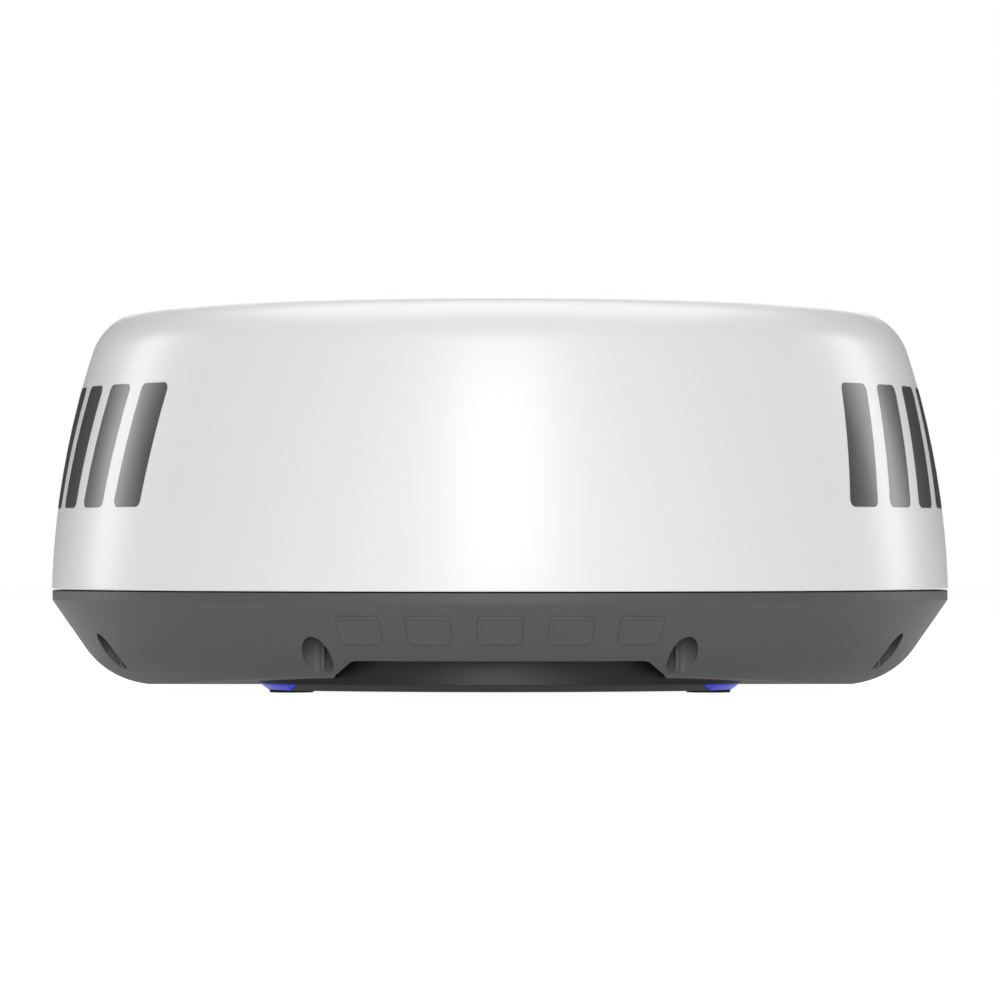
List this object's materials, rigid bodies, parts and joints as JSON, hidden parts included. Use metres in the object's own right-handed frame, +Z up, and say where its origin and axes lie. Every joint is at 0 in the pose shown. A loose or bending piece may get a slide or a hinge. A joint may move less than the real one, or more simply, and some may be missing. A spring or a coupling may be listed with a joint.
{
  "type": "radar dome antenna",
  "caption": "Closed marine radar dome: white radome over a grey skirt and black mounting plinth, with a belt-driven rotating antenna array and its electronics inside.",
  "frame": {"origin": "centre of the plane on which the four mounting pads stand, on the scanning axis", "axes": "+Z up along the scanning axis, -Y towards the front (bow) notch, +X to the right seen from the front"},
  "size_m": [0.5106, 0.5106, 0.2266],
  "materials": {
    "radome_white": "smooth satin gloss moulded radome plastic",
    "skirt_grey": "fine satin moulded plastic",
    "chassis_black": "black powder coat on cast aluminium",
    "rubber_black": "matt rubber",
    "stainless": "plain stainless steel",
    "lens_blue": "translucent blue light pipe",
    "board_green": "solder mask on circuit board",
    "cast_aluminium": "bare cast and sheet aluminium",
    "motor_steel": "dark coated steel",
    "black_plastic": "moulded black plastic",
    "brass": "turned brass"
  },
  "bodies": {
    "base": {"skirt": "skirt_grey", "chassis": "chassis_black", "dome_seal": "rubber_black", "drive_belt": "rubber_black", "supply_lead": "rubber_black", "motor_lead": "rubber_black", "signal_lead": "rubber_black", "mount_pad_1": "rubber_black", "mount_pad_2": "rubber_black", "mount_pad_3": "rubber_black", "mount_pad_4": "rubber_black", "dome_screw_1": "stainless", "dome_screw_2": "stainless", "dome_screw_3": "stainless", "dome_screw_4": "stainless", "dome_screw_5": "stainless", "dome_screw_6": "stainless", "dome_screw_7": "stainless", "dome_screw_8": "stainless", "cable_socket_nut": "stainless", "lower_bearing_inner": "stainless", "upper_bearing_inner": "stainless", "accent_lens_left": "lens_blue", "accent_lens_right": "lens_blue", "accent_led_board_left": "board_green", "accent_led_board_right": "board_green", "main_board": "board_green", "power_board": "board_green", "transceiver_board": "board_green", "spindle": "cast_aluminium", "transceiver_shield": "cast_aluminium", "motor_bracket": "cast_aluminium", "motor_body": "motor_steel", "cable_socket_shell": "black_plastic", "cable_socket_insert": "black_plastic", "breather_vent": "black_plastic", "index_sensor": "black_plastic", "mount_insert_1": "brass", "mount_insert_2": "brass", "mount_insert_3": "brass", "mount_insert_4": "brass", "rotary_joint_stator": "brass"},
    "antenna": {"driven_pulley": "black_plastic", "lower_bearing_outer": "stainless", "upper_bearing_outer": "stainless", "rotary_joint_rotor": "brass", "array_bracket": "cast_aluminium", "array_tray": "cast_aluminium", "array_board": "board_green", "feed_lead": "rubber_black", "index_magnet": "stainless"},
    "motor_rotor": {"motor_shaft": "stainless", "drive_pulley": "black_plastic"},
    "dome": {"radome": "radome_white"}
  },
  "joints": [
    {"name": "antenna_spin", "type": "hinge", "parent": "base", "child": "antenna", "pos_m": [0, 0, 0.075], "axis": [0, 0, 1], "continuous": true},
    {"name": "motor_spin", "type": "hinge", "parent": "base", "child": "motor_rotor", "pos_m": [0, 0.11, 0.065], "axis": [0, 0, 1], "continuous": true},
    {"name": "radome_lift", "type": "slide", "parent": "base", "child": "dome", "axis": [0, 0, 1], "range_m": [0, 0.2]}
  ],
  "couplings": [
    {"joint": "motor_spin", "follows": "antenna_spin", "ratio": 6}
  ]
}
